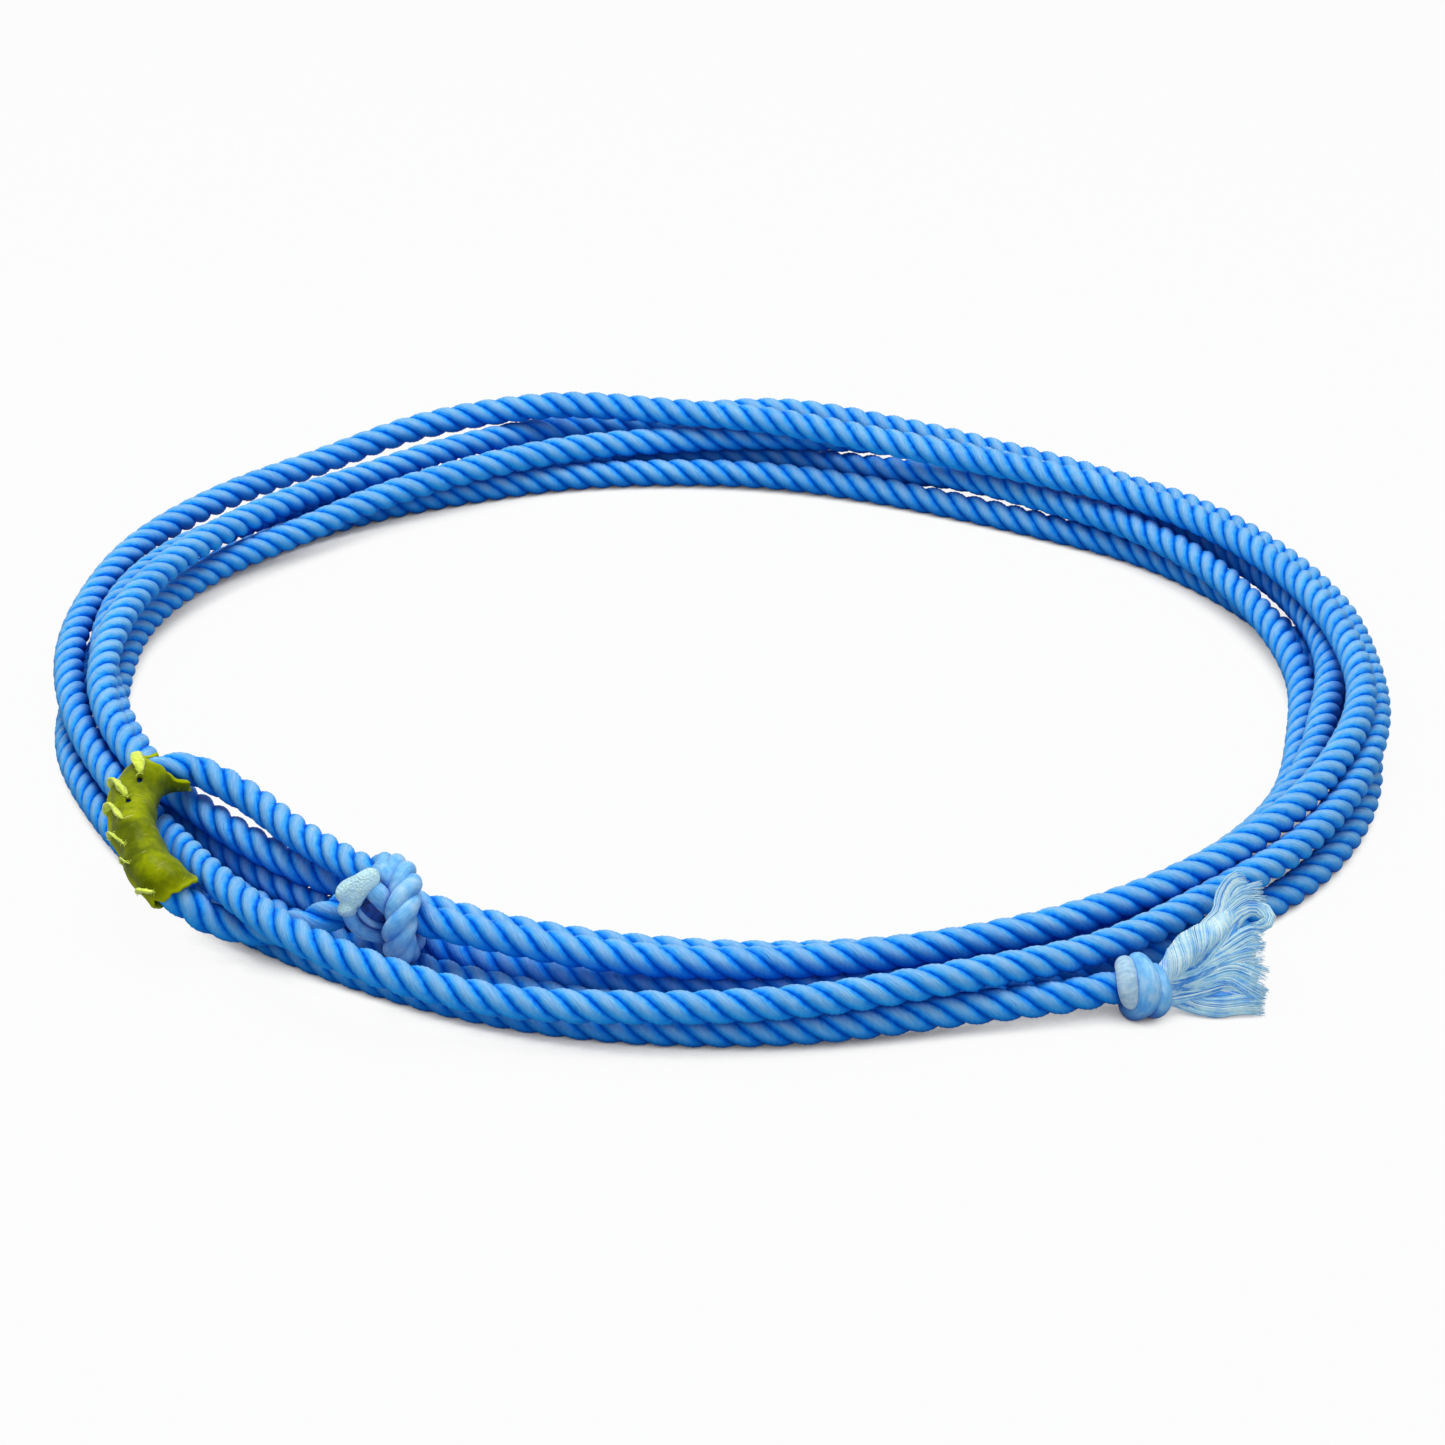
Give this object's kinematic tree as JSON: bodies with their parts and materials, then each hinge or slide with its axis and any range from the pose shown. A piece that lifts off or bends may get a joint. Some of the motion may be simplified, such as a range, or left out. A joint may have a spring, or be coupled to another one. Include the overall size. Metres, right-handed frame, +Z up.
{
  "type": "coiled lariat rope",
  "caption": "Stiff laid roping rope lying in a flat round coil, with a small running eye, a laced hide burner in its bend, a melted stub, and a tail knot with a frayed tassel.",
  "frame": {"origin": "middle of the whole part's box in plan, at its lowest point, where the coil lies on the floor", "axes": "+Z up and square to the flat coil; -Y is the front, where both knots are; +X is the side with the tassel"},
  "size_m": [0.436, 0.441, 0.0405],
  "materials": {
    "blue_nylon": "stiff laid nylon with a waxy sheen",
    "frayed_nylon": "pale unlaid and melted nylon",
    "hide": "dyed hide, semi-gloss",
    "lacing": "narrow dyed lace, matte"
  },
  "bodies": {
    "root": {"rope_turn_1": "blue_nylon", "rope_turn_2": "blue_nylon", "rope_turn_3": "blue_nylon", "rope_turn_4": "blue_nylon", "rope_turn_5": "blue_nylon", "rope_tail_run": "blue_nylon", "rope_eye": "blue_nylon", "eye_wrap": "blue_nylon", "eye_stub": "frayed_nylon", "tail_knot": "blue_nylon", "tail_tassel": "frayed_nylon", "burner_sleeve": "hide", "burner_lacing": "lacing"}
  },
  "joints": []
}
